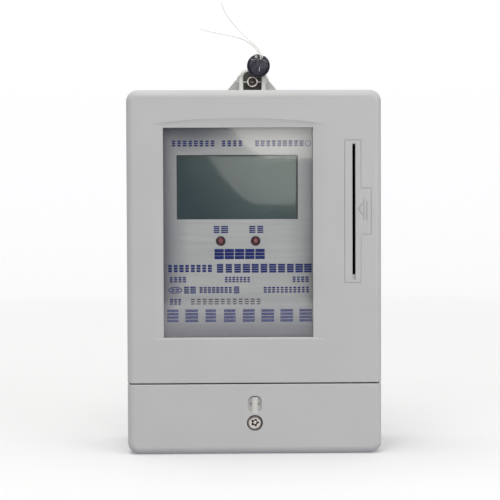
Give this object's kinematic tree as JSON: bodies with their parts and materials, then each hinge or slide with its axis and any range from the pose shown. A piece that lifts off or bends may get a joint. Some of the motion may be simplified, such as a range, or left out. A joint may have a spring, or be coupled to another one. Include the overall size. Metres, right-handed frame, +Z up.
{
  "type": "prepaid electricity meter",
  "caption": "Wall-mounted single-phase prepaid electricity meter with display window, card slot, sealed covers and a screw terminal block under its lower cover.",
  "frame": {"origin": "on the standing surface, under the middle of the housing's width and depth", "axes": "+X to the right as seen from the front, +Y from the front face to the wall, +Z up"},
  "size_m": [0.112, 0.058, 0.2014],
  "materials": {
    "shell": "fine moulded texture",
    "gasket": "matt",
    "lens": "clear polycarbonate",
    "steel": "nickel plated",
    "seal": "moulded",
    "wire": "plastic coated",
    "black_plastic": "moulded",
    "dark_plastic": "moulded",
    "white_plastic": "moulded",
    "brass": "machined",
    "copper": "rolled",
    "alloy": "resistance alloy",
    "tin": "tinned",
    "plate": "printed, satin",
    "lcd": "blank display",
    "led_red": "red diffused",
    "board": "solder mask",
    "core_steel": "laminated",
    "winding": "tape over copper",
    "cap_sleeve": "sleeved aluminium",
    "varistor_blue": "dipped",
    "resistor_tan": "lacquered",
    "ribbon": "flat cable"
  },
  "bodies": {
    "housing": {"base_shell": "shell", "front_cover": "shell", "cover_gasket": "gasket", "window_lens": "lens", "cover_seal_screw": "steel", "cover_screws": "steel", "terminal_block": "black_plastic", "line_in_terminal": "brass", "line_out_terminal": "brass", "neutral_in_terminal": "brass", "neutral_out_terminal": "brass", "aux_terminals": "brass", "terminal_block_screws": "steel", "nameplate": "plate", "lcd_glass": "lcd", "lcd_holder": "dark_plastic", "lcd_backlight": "white_plastic", "lcd_pins": "tin", "led_alarm": "led_red", "led_pulse": "led_red", "main_board": "board", "board_screws": "steel", "relay_housing": "white_plastic", "relay_coil": "copper", "current_shunt": "alloy", "line_in_bar": "copper", "line_out_bar": "copper", "neutral_link": "copper", "transformer_core": "core_steel", "transformer_winding": "winding", "capacitors": "cap_sleeve", "varistor": "varistor_blue", "backup_battery": "tin", "chips_and_couplers": "black_plastic", "crystal": "tin", "buzzer": "black_plastic", "resistors": "resistor_tan", "card_guide": "black_plastic", "card_contacts": "brass", "card_board": "board", "card_ribbon": "ribbon"},
    "terminal_cover": {"terminal_cover": "shell"},
    "terminal_cover_screw": {"terminal_cover_screw": "steel"},
    "aux_screw_left": {"aux_screw_left": "steel"},
    "aux_screw_right": {"aux_screw_right": "steel"},
    "relay_armature": {"relay_armature": "steel"},
    "card_switch_lever": {"card_switch_lever": "white_plastic"},
    "seal": {"seal_body": "seal", "seal_wire": "wire", "seal_wire_tail_a": "wire", "seal_wire_tail_b": "wire"},
    "terminal_screw_1": {"terminal_screw_1": "steel"},
    "terminal_screw_2": {"terminal_screw_2": "steel"},
    "terminal_screw_3": {"terminal_screw_3": "steel"},
    "terminal_screw_4": {"terminal_screw_4": "steel"},
    "terminal_screw_5": {"terminal_screw_5": "steel"},
    "terminal_screw_6": {"terminal_screw_6": "steel"},
    "terminal_screw_7": {"terminal_screw_7": "steel"},
    "terminal_screw_8": {"terminal_screw_8": "steel"}
  },
  "joints": [
    {"name": "terminal_cover_lift", "type": "slide", "parent": "housing", "child": "terminal_cover", "axis": [0, -1, 0], "range_m": [0, 0.045]},
    {"name": "terminal_cover_screw_turn", "type": "hinge", "parent": "terminal_cover", "child": "terminal_cover_screw", "pos_m": [0, -0.027, 0.0136], "axis": [0, 1, 0], "continuous": true},
    {"name": "terminal_screw_1_turn", "type": "hinge", "parent": "housing", "child": "terminal_screw_1", "pos_m": [-0.034, -0.012, 0.01], "axis": [0, 1, 0], "continuous": true},
    {"name": "terminal_screw_2_turn", "type": "hinge", "parent": "housing", "child": "terminal_screw_2", "pos_m": [-0.034, -0.012, 0.022], "axis": [0, 1, 0], "continuous": true},
    {"name": "terminal_screw_3_turn", "type": "hinge", "parent": "housing", "child": "terminal_screw_3", "pos_m": [-0.017, -0.012, 0.01], "axis": [0, 1, 0], "continuous": true},
    {"name": "terminal_screw_4_turn", "type": "hinge", "parent": "housing", "child": "terminal_screw_4", "pos_m": [-0.017, -0.012, 0.022], "axis": [0, 1, 0], "continuous": true},
    {"name": "terminal_screw_5_turn", "type": "hinge", "parent": "housing", "child": "terminal_screw_5", "pos_m": [0.017, -0.012, 0.01], "axis": [0, 1, 0], "continuous": true},
    {"name": "terminal_screw_6_turn", "type": "hinge", "parent": "housing", "child": "terminal_screw_6", "pos_m": [0.017, -0.012, 0.022], "axis": [0, 1, 0], "continuous": true},
    {"name": "terminal_screw_7_turn", "type": "hinge", "parent": "housing", "child": "terminal_screw_7", "pos_m": [0.034, -0.012, 0.01], "axis": [0, 1, 0], "continuous": true},
    {"name": "terminal_screw_8_turn", "type": "hinge", "parent": "housing", "child": "terminal_screw_8", "pos_m": [0.034, -0.012, 0.022], "axis": [0, 1, 0], "continuous": true},
    {"name": "aux_screw_left_turn", "type": "hinge", "parent": "housing", "child": "aux_screw_left", "pos_m": [-0.0065, -0.009, 0.022], "axis": [0, 1, 0], "continuous": true},
    {"name": "aux_screw_right_turn", "type": "hinge", "parent": "housing", "child": "aux_screw_right", "pos_m": [0.0065, -0.009, 0.022], "axis": [0, 1, 0], "continuous": true},
    {"name": "relay_armature_swing", "type": "hinge", "parent": "housing", "child": "relay_armature", "pos_m": [-0.038, 0.003, 0.059], "axis": [0, 1, 0], "range_deg": [0, 10]},
    {"name": "card_switch_lever_swing", "type": "hinge", "parent": "housing", "child": "card_switch_lever", "pos_m": [0.041, 0.012, 0.106], "axis": [0, 0, 1], "range_deg": [0, 26], "stiffness_Nm_per_rad": 0.0005, "springref_deg": -9.74},
    {"name": "seal_swing", "type": "hinge", "parent": "housing", "child": "seal", "pos_m": [0, 0.0009, 0.1654], "axis": [1, 0, 0], "range_deg": [0, 60]}
  ]
}
